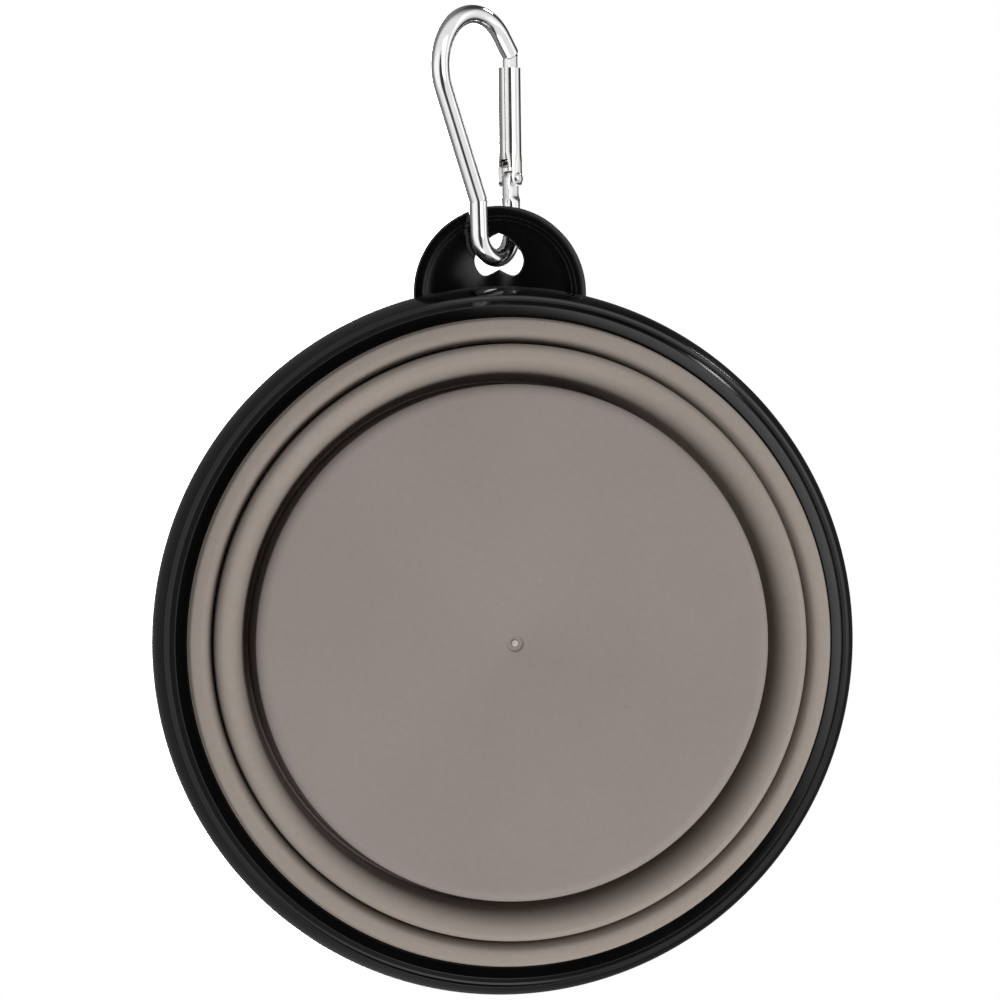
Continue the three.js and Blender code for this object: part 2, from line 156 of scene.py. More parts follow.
EAR_HALF = math.degrees(math.atan2(EAR_RADIUS, EAR_MID))
WINDOW_HALF = 28.4
SLOT_HALF = 31.5
RIVET_HEAD = [(0.05, 2.55), (0.35, 2.52), (0.65, 2.42), (0.9, 2.26), (1.08, 2.06), (1.15, 1.97),
              (1.1, 1.9), (0.6, 1.89)]
SPRING_TURNS = 9
SPRING_RADIUS = 0.9
SPRING_WIRE = 0.2
SPRING_START = 11.9
SPRING_END = 20.3

# Segments of the turned and lofted pieces
WALL_SIDES = 300
RIM_SIDES = 360
WIRE_SIDES = 40
COLUMN_STEP = 5  # degrees between the columns of the gate's sheet, at most
SPRING_SIDES = 10
SPRING_STEPS = 28

# Dark specks in the soft plastic, and dust on the hard one
SPECK = (0.13, 0.112, 0.10)
DUST = (0.05, 0.048, 0.045)

# Studio, metres, and levels of brightness where 1 is white
FLOOR_RADIUS = 1.2
FLOOR_SIDES = 96
FLOOR_DROP = 0.0002
FLOOR_FADE = (0.25, 0.9)
DOME_STOPS = ((0.0, 0.62), (0.35, 0.62), (0.46, 0.45), (0.54, 0.2), (0.62, 0.15), (1.0, 0.15))
DIFFUSE_WAY = (0.57, 0.82)
DIFFUSE_SIDES = (0.7, 1.5)
MIRRORED = 1.35
DARK_LEVEL = 0.05
BEHIND_LEVEL = 0.2
PANEL_LEVEL = 1.1
LEFT_LEVEL = 0.15
LOW_LEVEL = 1.2
BESIDE_LEVEL = 0.4
LAMP_AIM = Vector((0, -0.02, 0.008))

# Where each patch of the studio goes from dark to bright. These are angles across and up the picture in
# radians, the squared angle for the dark patch, and the parts of the direction itself for the two patches
# level with the bowl and behind it.
PANEL_SLANT = 0.38
DARK_MIDDLE = (0.06, -0.2)
DARK_FLATTENED = 0.6
DARK_EDGE = (0.176, 0.09)
PANEL_EDGES = ((0.23, 0.33), (0.9, 0.7), (-0.21, -0.09), (0.75, 0.55))
LEFT_EDGES = ((-1.6, -1.4), (-0.42, -0.5), (-0.95, -0.75), (0.7, 0.5))
LOW_EDGES = ((-0.55, -0.4), (0.45, 0.3), (-1.4, -1.2), (-0.75, -0.95))
BESIDE_EDGES = ((0.7, 0.88), (0.34, 0.2), (-0.3, -0.16))
BEHIND_EDGES = ((0.1, 0.3), (-0.1, 0.4))

# Camera: fitted to the outlines of the rim, wall and disc in the photograph, from below and slightly left
CAMERA_AT = Vector((-134.545, -38.092, -894.743)) * MM
CAMERA_AXES = ((0.98916432, 0.01459879, -0.14608502), (0.0127762, -0.9998285, -0.01340674),
               (-0.14625569, 0.01139505, -0.98918119))
LENS = 180
SENSOR = 36
NEAR = 0.05


# Meshes

def build(name, verts, faces, material, sharp=38, grain=None):
    """An object from millimetre points, outward faces, smooth but for edges over the sharp angle."""
    mesh = bpy.data.meshes.new(name)
    mesh.from_pydata([tuple(c * MM for c in v) for v in verts], [], faces)
    bm = bmesh.new()
    bm.from_mesh(mesh)
    bmesh.ops.recalc_face_normals(bm, faces=bm.faces)
    limit = math.radians(sharp)
    for face in bm.faces:
        face.smooth = True
    for edge in bm.edges:
        edge.smooth = len(edge.link_faces) == 2 and edge.calc_face_angle(0) < limit
    bm.to_mesh(mesh)
    bm.free()
    if grain is not None:
        layer = mesh.attributes.new("grain", "FLOAT_VECTOR", "POINT")
        layer.data.foreach_set("vector", np.array(grain, np.float32).ravel())
    mesh.materials.append(material)
    piece = bpy.data.objects.new(name, mesh)
    bpy.context.scene.collection.objects.link(piece)
    return piece


def turned(name, section, material, segments=WALL_SIDES):
    """A ring or disc turned about Z from a closed section of (radius, height)."""
    verts, rows = [], []
    for r, z in section:
        first = len(verts)
        if r < 1e-6:
            verts.append((0, 0, z))
            rows.append([first] * segments)
        else:
            for k in range(segments):
                turn = 2 * math.pi * k / segments
                verts.append((r * math.cos(turn), r * math.sin(turn), z))
            rows.append(list(range(first, first + segments)))
    pairs = list(zip(rows, rows[1:]))
    if section[0][0] > 1e-6:
        pairs.append((rows[-1], rows[0]))
    faces = []
    for low, high in pairs:
        for k in range(segments):
            j = (k + 1) % segments
            faces.append(list(dict.fromkeys((low[k], low[j], high[j], high[k]))))
    return build(name, verts, faces, material)


def smooth_line(points, steps):
    """A curve through the points, tangent at each to the line between its neighbours."""
    line = []
    for i in range(len(points) - 1):
        p = [np.array(points[min(max(i + k, 0), len(points) - 1)], float) for k in (-1, 0, 1, 2)]
        for s in range(steps):
            t = s / steps
            line.append(tuple(0.5 * (
                2 * p[1] + (p[2] - p[0]) * t + (2 * p[0] - 5 * p[1] + 4 * p[2] - p[3]) * t * t
                + (3 * p[1] - p[0] - 3 * p[2] + p[3]) * t ** 3)))
    line.append(tuple(map(float, points[-1])))
    return line


def rounded(corners, radii, steps=5):
    """An open polyline with its inner corners rounded."""
    line = [corners[0]]
    for before, at, after, radius in zip(corners, corners[1:], corners[2:], radii):
        b, p, a = (Vector(c) for c in (before, at, after))
        one, two = (b - p).normalized(), (a - p).normalized()
        half = math.acos(max(-1, min(1, one.dot(two)))) / 2
        reach = min(radius / math.tan(half), (b - p).length * 0.48, (a - p).length * 0.48)
        start, end = p + one * reach, p + two * reach
        for k in range(steps + 1):
            t = k / steps
            q = start * (1 - t) ** 2 + p * 2 * t * (1 - t) + end * t ** 2
            line.append(tuple(q))
    line.append(corners[-1])
    return line


def bend(r, z, start, end, width=BEND, height=None, steps=16):
    """Middle line of a fold, a quarter of an ellipse about its centre, as (radius, height, thickness)."""
    line = []
    for k in range(steps + 1):
        turn = math.radians(start + (end - start) * k / steps)
        line.append((r + width * math.cos(turn), z + (height or width) * math.sin(turn), WEB))
    return line


def run(start, end, steps=10):
    """A straight stretch between two folds, thickening from web to wall."""
    line = []
    for k in range(1, steps):
        t = k / steps
        thick = WEB + (WALL - WEB) * min(1, 4 * t, 4 * (1 - t))
        line.append((start[0] + (end[0] - start[0]) * t, start[1] + (end[1] - start[1]) * t, thick))
    return line


def web_run(start, end, steps):
    """A straight stretch of even thickness."""
    return [(start[0] + (end[0] - start[0]) * k / steps, start[1] + (end[1] - start[1]) * k / steps, WEB)
            for k in range(1, steps)]


def inset(face):
    """Middle line of a web from its face, which is followed inward and then up."""
    line = []
    for i, (r, z) in enumerate(face):
        before, after = face[max(i - 1, 0)], face[min(i + 1, len(face) - 1)]
        way = Vector((after[0] - before[0], after[1] - before[1])).normalized()
        line.append((r + way.y * WEB / 2, z - way.x * WEB / 2, WEB))
    return line


def sides(line, last_way=(-1, 0), first_way=(-1, 0)):
    """Both faces of a wall from its middle line. Its ends are level unless given, to meet the next piece."""
    left, right = [], []
    for i, (r, z, thick) in enumerate(line):
        before, after = line[max(i - 1, 0)], line[min(i + 1, len(line) - 1)]
        way = Vector((after[0] - before[0], after[1] - before[1]))
        if i == 0:
            way = Vector(first_way)
        if i == len(line) - 1:
            way = Vector(last_way)
        way.normalize()
        left.append((r - way.y * thick / 2, z + way.x * thick / 2))
        right.append((r + way.y * thick / 2, z - way.x * thick / 2))
    return left, right


def folded(line, first_way=(-1, 0)):
    """Closed section of a wall from its middle line."""
    left, right = sides(line, first_way=first_way)
    return left + right[::-1]


# Materials

def nodes_of(name):
    """A new material with its node tree and shader."""
    made = bpy.data.materials.new(name)
    made.use_nodes = True
    tree = made.node_tree
    return made, tree, tree.nodes["Principled BSDF"]


def put(tree, kind, **settings):
    """A new node with its settings."""
    node = tree.nodes.new(kind)
    for key, value in settings.items():
        setattr(node, key, value)
    return node


def calculated(tree, operation, one, two):
    """A value worked out from two, each a number or a socket."""
    node = put(tree, "ShaderNodeMath", operation=operation)
    for socket, value in zip(node.inputs, (one, two)):
        if isinstance(value, (int, float)):
            socket.default_value = value
        else:
            tree.links.new(value, socket)
    return node.outputs["Value"]


def noise(tree, source, scale, detail=2.0, roughness=0.5):
    """Cloudy values of about 0.3 to 0.7."""
    node = put(tree, "ShaderNodeTexNoise")
    node.inputs["Scale"].default_value = scale
    node.inputs["Detail"].default_value = detail
    node.inputs["Roughness"].default_value = roughness
    tree.links.new(source, node.inputs["Vector"])
    return node.outputs["Fac"]


def spread(tree, value, low, high, start=0.3, end=0.7):
    """A value from one range to another."""
    node = put(tree, "ShaderNodeMapRange")
    node.inputs["From Min"].default_value = start
    node.inputs["From Max"].default_value = end
    node.inputs["To Min"].default_value = low
    node.inputs["To Max"].default_value = high
    tree.links.new(value, node.inputs["Value"])
    return node.outputs["Result"]


def mixed(tree, factor, one, two):
    """From one colour to the other, each a colour or a socket."""
    node = put(tree, "ShaderNodeMix", data_type="RGBA")
    tree.links.new(factor, node.inputs["Factor"])
    for socket, colour in ((node.inputs[6], one), (node.inputs[7], two)):
        if isinstance(colour, tuple):
            socket.default_value = (*colour, 1)
        else:
            tree.links.new(colour, socket)
    return node.outputs[2]


def bumped(tree, shader, *layers):
    """Bump from (height, strength, depth in metres), one over the other."""
    last = None
    for height, strength, depth in layers:
        node = put(tree, "ShaderNodeBump")
        node.inputs["Strength"].default_value = strength
        node.inputs["Distance"].default_value = depth
        tree.links.new(height, node.inputs["Height"])
        if last is not None:
            tree.links.new(last, node.inputs["Normal"])
        last = node.outputs["Normal"]
    tree.links.new(last, shader.inputs["Normal"])


def place(tree):
    """Coordinates that stay with the piece."""
    return put(tree, "ShaderNodeTexCoord").outputs["Object"]


def specks(tree, source, scale, size, share):
    """Small round spots in a share of the cells."""
    cell = put(tree, "ShaderNodeTexVoronoi")
    cell.inputs["Scale"].default_value = scale
    tree.links.new(source, cell.inputs["Vector"])
    near = spread(tree, cell.outputs["Distance"], 1, 0, size * 0.5, size)
    split = put(tree, "ShaderNodeSeparateColor")
    tree.links.new(cell.outputs["Color"], split.inputs["Color"])
    picked = spread(tree, split.outputs["Red"], 0, 1, 1 - share, 1 - share + 0.01)
    return calculated(tree, "MULTIPLY", near, picked)


def soft_plastic(name, one, two):
    """Satin soft plastic in two close tones, with a fine grain and a few dark specks."""
    made, tree, shader = nodes_of(name)
    at = place(tree)
    broad = spread(tree, noise(tree, at, 26, 3), 0, 1)
    fine = spread(tree, noise(tree, at, 900, 2), 0, 1)
    tone = mixed(tree, broad, one, two)
    grain = put(tree, "ShaderNodeMix", data_type="RGBA", blend_type="MULTIPLY")
    grain.inputs["Factor"].default_value = 0.05
    tree.links.new(tone, grain.inputs[6])
    tree.links.new(fine, grain.inputs[7])
    spots = spread(tree, specks(tree, at, 95, 0.035, 0.3), 0, 0.45, 0, 1)
    colour = mixed(tree, spots, grain.outputs[2], SPECK)
    tree.links.new(colour, shader.inputs["Base Color"])
    tree.links.new(spread(tree, noise(tree, at, 70, 4), 0.44, 0.58), shader.inputs["Roughness"])
    shader.inputs["Specular IOR Level"].default_value = 0.16
    bumped(tree, shader,
           (noise(tree, at, 60, 2), 0.12, 0.0004),
           (noise(tree, at, 2600, 2), 0.22, 0.00003))
    return made


def gate_nub():
    """Pale sheared plastic in the moulding mark."""
    made, tree, shader = nodes_of("sheared_nub")
    at = place(tree)
    tone = mixed(tree, spread(tree, noise(tree, at, 2500, 3), 0, 1), (0.40, 0.36, 0.32), (0.55, 0.51, 0.46))
    tree.links.new(tone, shader.inputs["Base Color"])
    tree.links.new(spread(tree, noise(tree, at, 3000, 2), 0.25, 0.45), shader.inputs["Roughness"])
    bumped(tree, shader, (noise(tree, at, 3500, 3), 0.4, 0.00006))
    return made


def hard_plastic():
    """Glossy black plastic with a little dust."""
    made, tree, shader = nodes_of("hard_plastic")
    at = place(tree)
    cloud = spread(tree, noise(tree, at, 40, 3), 0, 1)
    tone = mixed(tree, cloud, (0.0009, 0.0009, 0.0010), (0.0018, 0.0018, 0.0017))
    dust = spread(tree, specks(tree, at, 420, 0.06, 0.12), 0, 0.25, 0, 1)
    tree.links.new(mixed(tree, dust, tone, DUST), shader.inputs["Base Color"])
    tree.links.new(spread(tree, noise(tree, at, 55, 4, 0.6), 0.08, 0.15), shader.inputs["Roughness"])
    shader.inputs["Specular IOR Level"].default_value = 0.36
    bumped(tree, shader,
           (noise(tree, at, 90, 2), 0.06, 0.0003),
           (noise(tree, at, 3000, 2), 0.03, 0.00002))
    return made


def polished(name, one, two, low, high):
    """Drawn and tumbled metal: fine marks run along the piece."""
    made, tree, shader = nodes_of(name)
    along = put(tree, "ShaderNodeAttribute", attribute_name="grain").outputs["Vector"]
    shift = put(tree, "ShaderNodeMapping")
    shift.inputs["Scale"].default_value = (0.06, 1.0, 1.0)
    tree.links.new(along, shift.inputs["Vector"])
    streak = noise(tree, shift.outputs["Vector"], 2600, 3, 0.6)
    cloud = noise(tree, along, 260, 3)
    tree.links.new(mixed(tree, spread(tree, cloud, 0, 1), one, two), shader.inputs["Base Color"])
    shader.inputs["Metallic"].default_value = 1
    wear = calculated(tree, "ADD", spread(tree, streak, low, (low + high) / 2),
                      spread(tree, cloud, 0, (high - low) / 2))
    tree.links.new(wear, shader.inputs["Roughness"])
    bumped(tree, shader, (streak, 0.015, 0.00002), (cloud, 0.02, 0.0001))
    return made


SOFT = soft_plastic("soft_plastic", (0.274, 0.236, 0.217), (0.296, 0.257, 0.238))
# The folded wall gets a lighter, warmer copy of the same soft plastic: painted light, the sheen and warm
# highlights its folds catch put into their colour.
SOFT_WALL_PAINTED_LIGHT = soft_plastic("soft_plastic_wall_painted_light", (0.300, 0.258, 0.227), (0.322, 0.279, 0.246))
NUB = gate_nub()
BLACK = hard_plastic()
WIRE_METAL = polished("polished_aluminium", (0.86, 0.865, 0.88), (0.93, 0.93, 0.935), 0.06, 0.16)
GATE_METAL = polished("polished_gate", (0.82, 0.81, 0.785), (0.90, 0.89, 0.87), 0.08, 0.2)
STEEL = polished("steel", (0.62, 0.61, 0.60), (0.72, 0.71, 0.70), 0.14, 0.28)


def dress(piece, body, slot, *nodes):
    """Hide the CAD parts that the piece stands in for and, when a body is given, hang the piece on that
    body. The slot is not used.
    """
    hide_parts(*nodes)
    if body:
        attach(piece, body)


# Bowl wall

def base_section():
    """Cup with its floor: out along the floor, up inside, down outside, round the edge and back below."""
    line = bend(BASE_CREST, BEND_TOP, 90, 180)
    line += run((BASE_CREST - BEND, BEND_TOP), (CUP_RADIUS, CUP_FOOT))
    line.append((CUP_RADIUS, CUP_FOOT, WALL))
    left, right = sides(line, (-CUP_FLARE, CUP_FOOT - BEND_TOP))
    inner, outer = (left, right) if left[-1][0] < right[-1][0] else (right, left)
    inner, outer = ([(r - depth * max(0, min(1, (UNDERCUT_TOP - z) / UNDERCUT_FADE)), z) for r, z in side]
                    for side, depth in ((inner, UNDERCUT / 2), (outer, UNDERCUT)))
    foot = inner[-1]
    floor = rounded([(0, DISC_THICKNESS), (foot[0] - 0.02, DISC_THICKNESS), foot], [FLOOR_ROUNDING], 6)
    edge = [(DISC_RADIUS - EDGE_WIDE + EDGE_WIDE * math.cos(t), EDGE_HIGH - EDGE_HIGH * math.sin(t))
            for t in (math.radians(135 * k / 18 - 45) for k in range(19))]
    # Underside with the shallow well that the moulding gate leaves, and the sheared nub inside it.
    well = rounded(GATE_MARK, GATE_MARK_ROUNDING, 4)
    spaced = [(r, 0) for r in DISC_RINGS]
    return floor[:-1] + inner[::-1] + outer + edge + spaced + well


base = turned("bowl_base", base_section(), SOFT)
base.data.materials.append(NUB)
for face in base.data.polygons:
    face.material_index = int(face.center.z < NUB_HEIGHT * MM and face.center.xy.length < NUB_RADIUS * MM)
dress(base, "base", "flexible_wall", "base_cup")

middle = turned("bowl_middle", folded(
    bend(UPPER_CREST, BEND_TOP, 90, 180)
    + run((UPPER_CREST - BEND, BEND_TOP), (LOWER_CREST + MIDDLE_CORNER, LOW_LINE + MIDDLE_CORNER))
    + bend(LOWER_CREST, LOW_LINE + MIDDLE_CORNER, 0, -90, MIDDLE_CORNER)), SOFT_WALL_PAINTED_LIGHT)
dress(middle, "middle", "flexible_wall", "middle_wall")

inner_turn = (LOWER_CREST - LOWER_RING[0], LOW_LINE + LOWER_RING[1])
groove = smooth_line([inner_turn, *GROOVE, (BASE_CREST + BEND, BEND_TOP)], 5)
lower_web = turned("fold_lower", folded(
    bend(LOWER_CREST, LOW_LINE + LOWER_RING[1], -90, -180, *LOWER_RING)
    + [(r, z, WEB) for r, z in groove[1:-1]]
    + bend(BASE_CREST, BEND_TOP, 0, 90)), SOFT_WALL_PAINTED_LIGHT)
dress(lower_web, None, "flexible_wall", "lower_fold_web")
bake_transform(lower_web)

# The outer ring is crowned: from the rim's border in and down to its crest, then up beside the middle wall.
outer_ring = inset(smooth_line(OUTER_RING, 6))
upper_web = turned("fold_upper", folded(
    outer_ring
    + web_run(outer_ring[-1], (UPPER_CREST + BEND, BEND_TOP), 16)
    + bend(UPPER_CREST, BEND_TOP, 0, 90),
    (OUTER_RING[1][0] - OUTER_RING[0][0], OUTER_RING[1][1] - OUTER_RING[0][1])), SOFT_WALL_PAINTED_LIGHT)
dress(upper_web, None, "flexible_wall", "upper_fold_web")
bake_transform(upper_web)

collar_line = rounded([
    (COLLAR_INNER, COLLAR_START), (COLLAR_INNER, COLLAR_TOP), (BOND_RADIUS, COLLAR_TOP),
    (BOND_RADIUS, COLLAR_FOOT), (COLLAR_INNER, COLLAR_FOOT), (COLLAR_INNER, COLLAR_END)], COLLAR_ROUNDING, 5)
collar = turned("bowl_collar", collar_line, SOFT_WALL_PAINTED_LIGHT)
dress(collar, "rim", "flexible_wall", "rim_collar")


# Rim and tab

def rim_section():
    """From the band below, over the ledge and the outer lip to the top and down inside."""
    under = rounded(RIM_UNDER, RIM_UNDER_ROUNDING, 6)
    outer = smooth_line(RIM_OUTER, 5)
    inner = smooth_line(RIM_INNER, 5)
    return [(min(r, RIM_RADIUS), min(z, RIM_TOP)) for r, z in under[:-1] + outer + inner]


rim = turned("rim", rim_section(), BLACK, RIM_SIDES)
dress(rim, "rim", "rim", "rim_ring")


def tab_loop(margin, height):
    """Outline of the tab, drawn in by the margin. Its root lies inside the rim."""
    radius = TAB_RADIUS - margin
    root = -math.sqrt(TAB_ROOT ** 2 - radius ** 2)
    loop = [(-radius, root + (TAB_CENTRE - root) * k / 4) for k in range(4)]
    loop += [(radius * math.cos(t), TAB_CENTRE + radius * math.sin(t))
             for t in (math.pi * (1 + k / 96) for k in range(97))]
    loop += [(radius, TAB_CENTRE + (root - TAB_CENTRE) * k / 4) for k in range(1, 5)]
    root_angle = math.asin(radius / TAB_ROOT)
    loop += [(TAB_ROOT * math.sin(t), -TAB_ROOT * math.cos(t))
             for t in (root_angle * (1 - k / 12) for k in range(1, 24))]
    return [(x, y, height) for x, y in loop]


def heart_loop(grow, height):
    """Outline of the hole, a heart with its tip away from the bowl."""
    half = smooth_line([(HOLE_HALF * x, HOLE_TIP + HOLE_LENGTH * y) for x, y in HEART], 10)
    ring = half + [(-x, y) for x, y in half[-2:0:-1]]
    out = []
    for i, p in enumerate(ring):
        before, after = Vector(ring[i - 1]), Vector(ring[(i + 1) % len(ring)])
        way = (after - before).normalized()
        normal = Vector((way.y, -way.x))
        out.append((p[0] + normal.x * grow, p[1] + normal.y * grow, height))
    return out


def make_tab():
    """A plate with a raised border below, two small steps to the recessed face, and the heart hole."""
    quarter = np.linspace(0, math.pi / 2, 5)
    top, bottom = TAB_TOP_ROUNDING, TAB_BOTTOM_ROUNDING
    edge = [(top - top * math.sin(t), TAB_TOP - top + top * math.cos(t)) for t in quarter]
    edge += [(bottom - bottom * math.cos(t), TAB_BOTTOM + bottom - bottom * math.sin(t)) for t in quarter]
    second = TAB_BORDER + TAB_STEP
    steps = rounded([(TAB_BORDER_START, TAB_BOTTOM), (TAB_BORDER, TAB_BOTTOM),
                     (TAB_BORDER + TAB_DRAFT, TAB_SHELF), (second, TAB_SHELF),
                     (second + TAB_DRAFT, TAB_FACE), (TAB_FLAT_START, TAB_FACE)], TAB_STEP_ROUNDING, 4)
    verts, rows = [], []
    for margin, height in edge + steps:
        loop = tab_loop(margin, height)
        rows.append(list(range(len(verts), len(verts) + len(loop))))
        verts += loop
    lips = [(HOLE_LIP * (1 - math.sin(t)), TAB_FACE + HOLE_LIP * (1 - math.cos(t))) for t in quarter]
    lips += [(HOLE_LIP * (1 - math.cos(t)), TAB_TOP - HOLE_LIP * (1 - math.sin(t))) for t in quarter]
    holes = []
    for grow, height in lips:
        loop = heart_loop(grow, height)
        holes.append(list(range(len(verts), len(verts) + len(loop))))
        verts += loop
    faces = []
    for group in (rows, holes):
        for low, high in zip(group, group[1:]):
            count = len(low)
            for k in range(count):
                j = (k + 1) % count
                faces.append((low[k], low[j], high[j], high[k]))
    # The two flat faces, each between an outline and the hole.
    for outline, hole in ((rows[-1], holes[0]), (rows[0], holes[-1])):
        bm = bmesh.new()
        made = {}
        edges = []
        for loop in (outline, hole):
            points = [bm.verts.new(verts[i]) for i in loop]
            made.update(zip(points, loop))
            edges += [bm.edges.new((points[k - 1], points[k])) for k in range(len(points))]
        bmesh.ops.triangle_fill(bm, edges=edges, use_beauty=True)
        faces += [tuple(made[v] for v in face.verts) for face in bm.faces]
        bm.free()
    return build("rim_tab", verts, faces, BLACK, sharp=50)


tab = make_tab()
dress(tab, "rim", "rim", "rim_ring")


# Snap hook

E_A = Vector((math.cos(HOOK_TILT), 0, math.sin(HOOK_TILT)))
E_L = Vector((0, -1, 0))
E_N = Vector((math.sin(HOOK_TILT), 0, -math.cos(HOOK_TILT)))


def placed(a, l, n):
    """A point of the flat drawing in the bowl's frame."""
    return tuple(HOOK_ORIGIN + E_A * a + E_L * l + E_N * n)


def loft(name, rings, material, sharp=38):
    """Rings of equal count, closed at both ends."""
    count = len(rings[0])
    verts, grain, faces = [], [], []
    travel = 0
    last = None
    for ring in rings:
        centre = sum((Vector(p) for p in ring), Vector()) / count
        if last is not None:
            travel += (centre - last).length
        last = centre
        for k, p in enumerate(ring):
            turn = 2 * math.pi * k / count
            verts.append(p)
            grain.append((travel * MM, WIRE * MM * math.cos(turn), WIRE * MM * math.sin(turn)))
    for i in range(len(rings) - 1):
        for k in range(count):
            j = (k + 1) % count
            faces.append((i * count + k, i * count + j, (i + 1) * count + j, (i + 1) * count + k))
    faces.append(tuple(range(count)))
    faces.append(tuple(range((len(rings) - 1) * count, len(rings) * count)))
    return build(name, verts, faces, material, sharp, grain)


def oval(centre, way, wide, thick, power):
    """Ring across the way: wide in the hook's plane, thick across it, from round to nearly square."""
    side = Vector((way[1], -way[0]))
    ring = []
    for k in range(WIRE_SIDES):
        turn = 2 * math.pi * k / WIRE_SIDES
        c, s = math.cos(turn), math.sin(turn)
        reach = (abs(c / wide) ** power + abs(s / thick) ** power) ** (-1 / power)
        ring.append(placed(centre[0] + side.x * reach * c, centre[1] + side.y * reach * c, reach * s))
    return ring


def wire_ring(centre, way, shrink=0.0):
    """Round section of the hook's wire."""
    return oval(centre, way, WIRE - shrink, WIRE - shrink, 2)


def touch(point, sign):
    """Angle at which a line from the point touches the bow."""
    way = Vector(point) - Vector(BOW_CENTRE)
    return math.atan2(way.y, way.x) + sign * math.acos(BOW_RADIUS / way.length)


def hook_rings():
    """Sections of the wire from its flattened end, round the bend in the tab and the bow, to the tongue."""
    rings = []
    down = Vector((0, -1))
    # Flattened end with its rounded tip, from the top of the lug down to the round wire.
    for t in LUG_TIP:
        rise = math.radians(t)
        tip = (LEG, PIVOT + LUG_RADIUS * math.cos(rise))
        rings.append(oval(tip, down, LUG_RADIUS * math.sin(rise), LUG_HALF, 6))
    for l, share in LUG_TO_WIRE:
        wide = LUG_RADIUS + (WIRE - LUG_RADIUS) * share
        thick = LUG_HALF + (WIRE - LUG_HALF) * share
        rings.append(oval((LEG, l), down, wide, thick, 6 - 4 * share))
    for l in LEG_HEIGHTS:
        rings.append(wire_ring((LEG, l), down))
    for k in range(41):
        turn = -math.pi * k / 40
        way = Vector((math.sin(turn), -math.cos(turn)))
        rings.append(wire_ring((LEG * math.cos(turn), LEG * math.sin(turn)), way))
    foot, kink = Vector((-LEG, 0)), Vector(KINK)
    rise = (kink - foot).normalized()
    for t in (0.15, 0.35, 0.55, 0.75, 0.9, 0.975):
        rings.append(wire_ring(foot.lerp(kink, t), rise))
    turn0, turn1 = touch(KINK, -1), touch(NOSE, 1)
    bow = Vector(BOW_CENTRE)
    touch0 = bow + Vector((math.cos(turn0), math.sin(turn0))) * BOW_RADIUS
    spine = (touch0 - kink).normalized()
    # The wire is kinked hard where the spine starts, which leaves a fine line round it.
    rings.append(wire_ring(kink, (rise + spine).normalized(), KINK_PINCH))
    for t in (0.006, 0.03, 0.08, 0.2, 0.35, 0.5, 0.65, 0.8, 0.92):
        rings.append(wire_ring(kink.lerp(touch0, t), spine))
    if turn1 > turn0:
        turn1 -= 2 * math.pi
    for k in range(61):
        turn = turn0 + (turn1 - turn0) * k / 60
        way = Vector((math.sin(turn), -math.cos(turn)))
        at = bow + Vector((math.cos(turn), math.sin(turn))) * BOW_RADIUS
        rings.append(wire_ring(at, way))
    touch1 = bow + Vector((math.cos(turn1), math.sin(turn1))) * BOW_RADIUS
    nose = Vector(NOSE)
    fall = (nose - touch1).normalized()
    for t in (0.3, 0.6, 0.85):
        rings.append(wire_ring(touch1.lerp(nose, t), fall))
    # Cut end of the wire, then the tongue that enters the gate.
    for back, shrink in WIRE_CUT:
        rings.append(wire_ring(nose - fall * back, fall, shrink))
    across = LEG + (TONGUE_INNER + TONGUE_OUTER) / 2
    half = (TONGUE_OUTER - TONGUE_INNER) / 2
    for l, grow in TONGUE_RINGS:
        rings.append(oval((across, l), down, half + grow, TONGUE_THICK + grow, 9))
    return rings


hook = loft("hook_wire", hook_rings(), WIRE_METAL, sharp=42)
dress(hook, "carabiner", "hook", "carabiner_hook")


# Gate of the hook: a sheet rolled into a tube, with two ears, a window and a slot

def gate_radius(turn, l):
    """Distance of the sheet's middle from the tube's axis: round above, flat-sided at the ears."""
    t = min(1, max(0, (EAR_TOP - l) / (EAR_TOP - FORK)))
    t = t * t * (3 - 2 * t)
    power = 2 + 1.6 * t
    wide = GATE_MID + (EAR_WIDE - GATE_MID) * t
    half = GATE_MID + (EAR_MID - GATE_MID) * t
    c, s = abs(math.cos(turn)), abs(math.sin(turn))
    return ((c / wide) ** power + (s / half) ** power) ** (-1 / power)


def inside(value, low, high):
    """Whether the value is in the range, ends included."""
    return low - 1e-6 <= value <= high + 1e-6


def span(low, high, steps):
    """Even steps from end to end."""
    return [low + (high - low) * k / steps for k in range(steps + 1)]


def ear_foot(column):
    """Lower end of the sheet at an angle round the tube, on the round of an ear."""
    a = EAR_MID / math.tan(math.radians(column)) if abs((column % 180) - 90) > 1e-6 else 0
    return PIVOT - math.sqrt(max(0, EAR_RADIUS ** 2 - a * a))


def in_ear(column):
    """Whether an angle round the tube meets one of the two ears."""
    return any(inside(column, middle - EAR_HALF, middle + EAR_HALF) for middle in (270, 450))


# Stretches of the sheet from the nose down, each with its rows at a column and the columns that it holds
GATE_STRETCHES = [
    (lambda c: span(GATE_TIP, SLOT_END, 6), lambda c: not inside(c, 360.1 - SLOT_HALF, 359.9 + SLOT_HALF)),
    (lambda c: span(SLOT_END, WINDOW_END, 28), lambda c: True),
    (lambda c: span(WINDOW_END, FORK, 5), lambda c: inside(c, 180 + WINDOW_HALF, 540 - WINDOW_HALF)),
    (lambda c: span(FORK, ear_foot(c), 8), in_ear),
]


